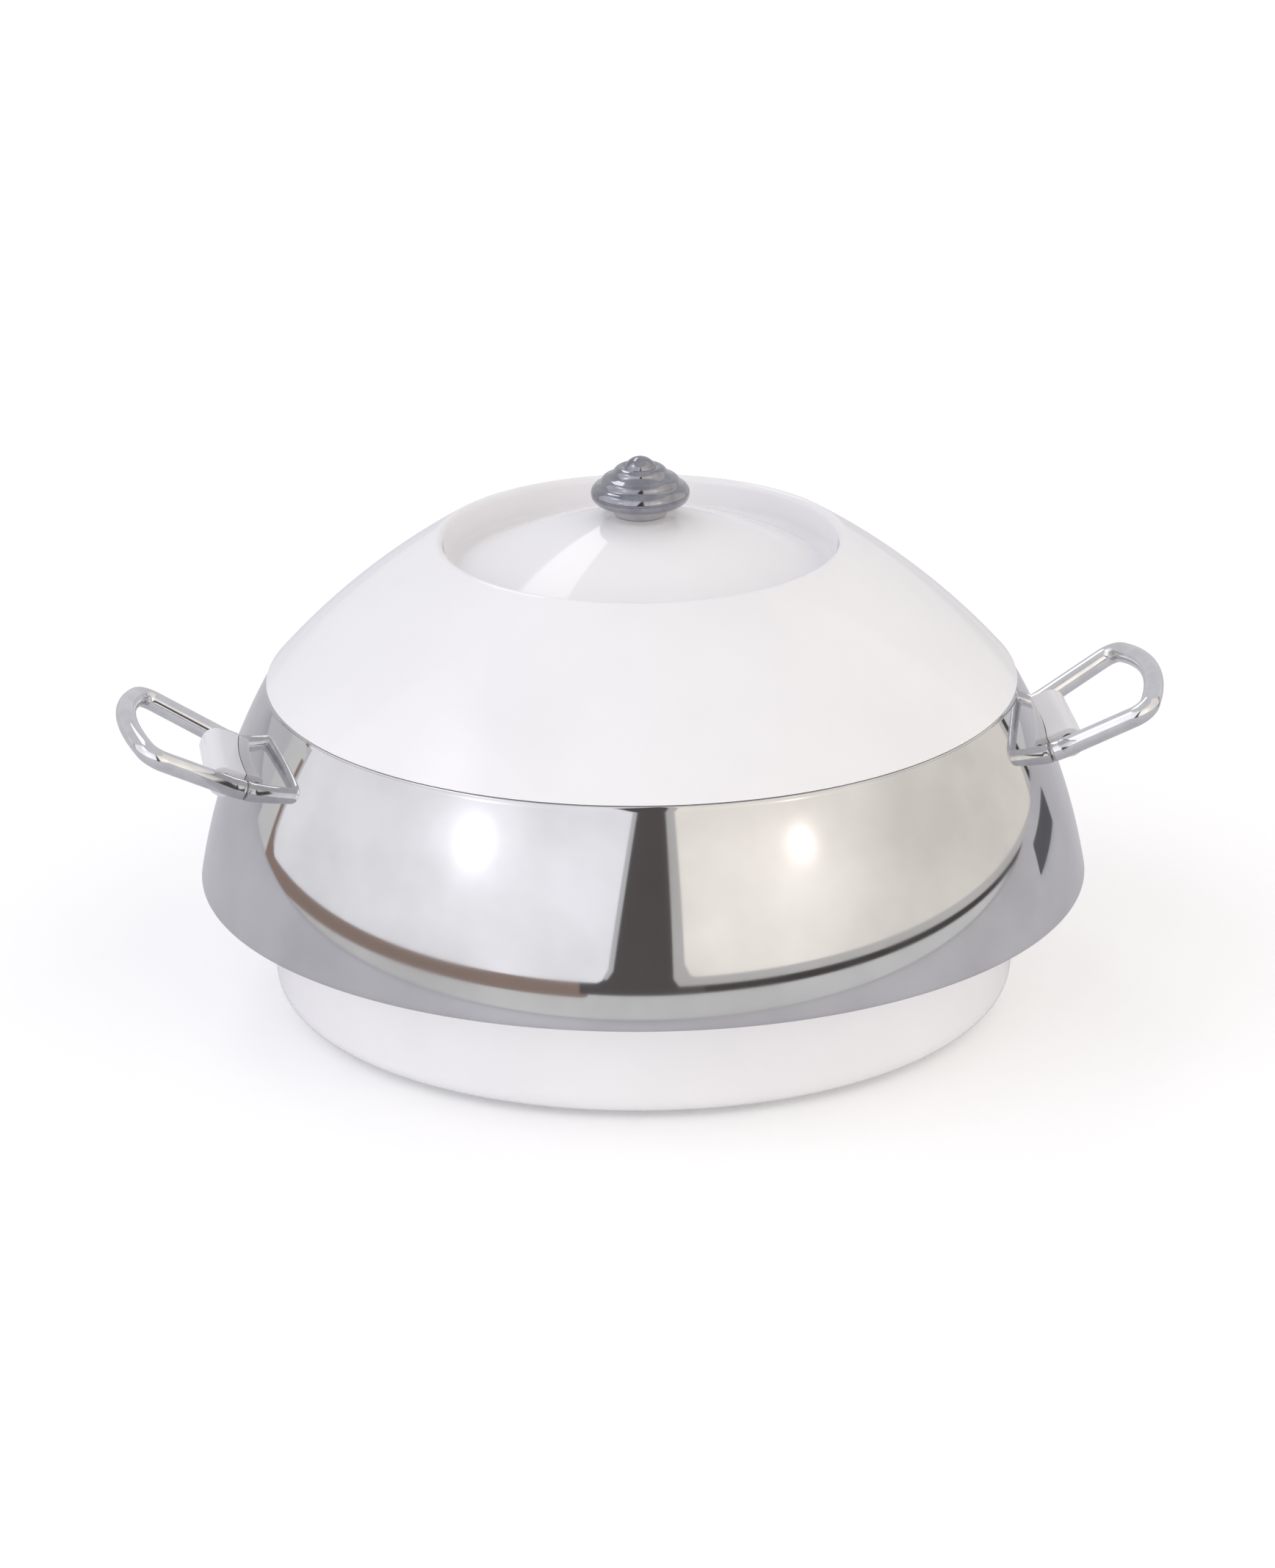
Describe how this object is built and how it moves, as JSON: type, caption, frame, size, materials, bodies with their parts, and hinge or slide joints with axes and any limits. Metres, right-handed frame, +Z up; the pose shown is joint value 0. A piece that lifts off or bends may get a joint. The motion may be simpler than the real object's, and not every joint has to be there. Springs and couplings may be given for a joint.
{
  "type": "insulated casserole",
  "caption": "Round insulated serving casserole: flared mirror-steel band over a white bowl, two raised loop handles, and a lift-off white domed lid with a dished top and a ringed chrome knob.",
  "frame": {"origin": "centre of the resting face, under the foot ring", "axes": "+Z up along the bowl's axis, +X towards the right handle"},
  "size_m": [0.414, 0.35, 0.2211],
  "materials": {
    "white_plastic": "glossy, moulded",
    "mirror_steel": "mirror polished stainless sheet",
    "chrome_rod": "bright chrome plate",
    "inner_steel": "fine satin, food-grade stainless",
    "zinc_steel": "zinc plated",
    "insulating_foam": "rigid closed-cell foam",
    "brass": "machined"
  },
  "bodies": {
    "base": {"base_bowl": "white_plastic", "base_plug": "white_plastic", "base_foam": "insulating_foam", "base_liner": "inner_steel", "seat_ring": "white_plastic", "steel_band": "mirror_steel", "handle_left": "chrome_rod", "handle_right": "chrome_rod", "hood_left": "white_plastic", "hood_right": "white_plastic", "backing_plate_left": "zinc_steel", "backing_plate_right": "zinc_steel", "handle_washers": "zinc_steel", "handle_nuts": "zinc_steel", "hood_screws": "zinc_steel"},
    "lid": {"lid_dome": "white_plastic", "lid_foam": "insulating_foam", "lid_liner": "inner_steel", "lid_ring": "white_plastic", "knob": "chrome_rod", "knob_collar": "chrome_rod", "knob_insert": "brass", "knob_screw": "zinc_steel", "knob_washer": "zinc_steel"}
  },
  "joints": [
    {"name": "lid_lift", "type": "slide", "parent": "base", "child": "lid", "axis": [0, 0, 1], "range_m": [0, 0.2]}
  ]
}
